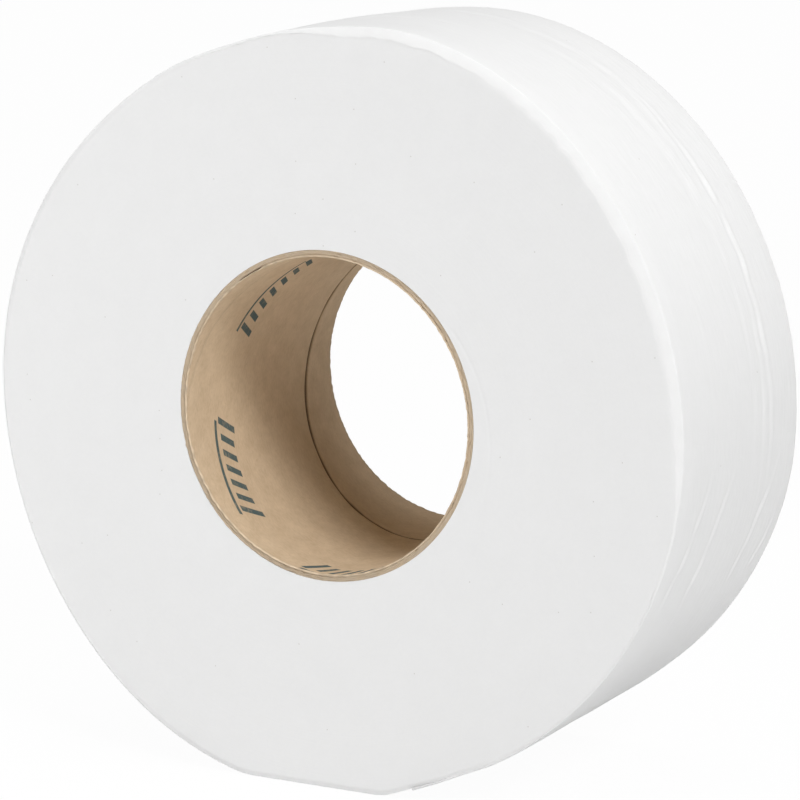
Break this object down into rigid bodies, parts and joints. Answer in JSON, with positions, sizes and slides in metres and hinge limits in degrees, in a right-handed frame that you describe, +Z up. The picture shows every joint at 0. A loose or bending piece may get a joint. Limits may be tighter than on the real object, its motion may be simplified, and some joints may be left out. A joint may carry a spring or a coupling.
{
  "type": "toilet paper roll",
  "caption": "Jumbo roll of white toilet tissue wound on a brown spiral-wound board core, lying on its flat spot.",
  "frame": {"origin": "middle of the core's bore, on its axis, half way between the two ends", "axes": "+Y along the core's axis, from the front end to the back end; +Z up, away from the flat spot; +X right seen from the front"},
  "size_m": [0.2174, 0.084, 0.2174],
  "materials": {
    "tissue": "soft matt white tissue, faintly embossed",
    "kraft_board": "matt brown kraft board with fine fibres"
  },
  "bodies": {
    "root": {"paper_roll": "tissue", "core_tube": "kraft_board"}
  },
  "joints": []
}
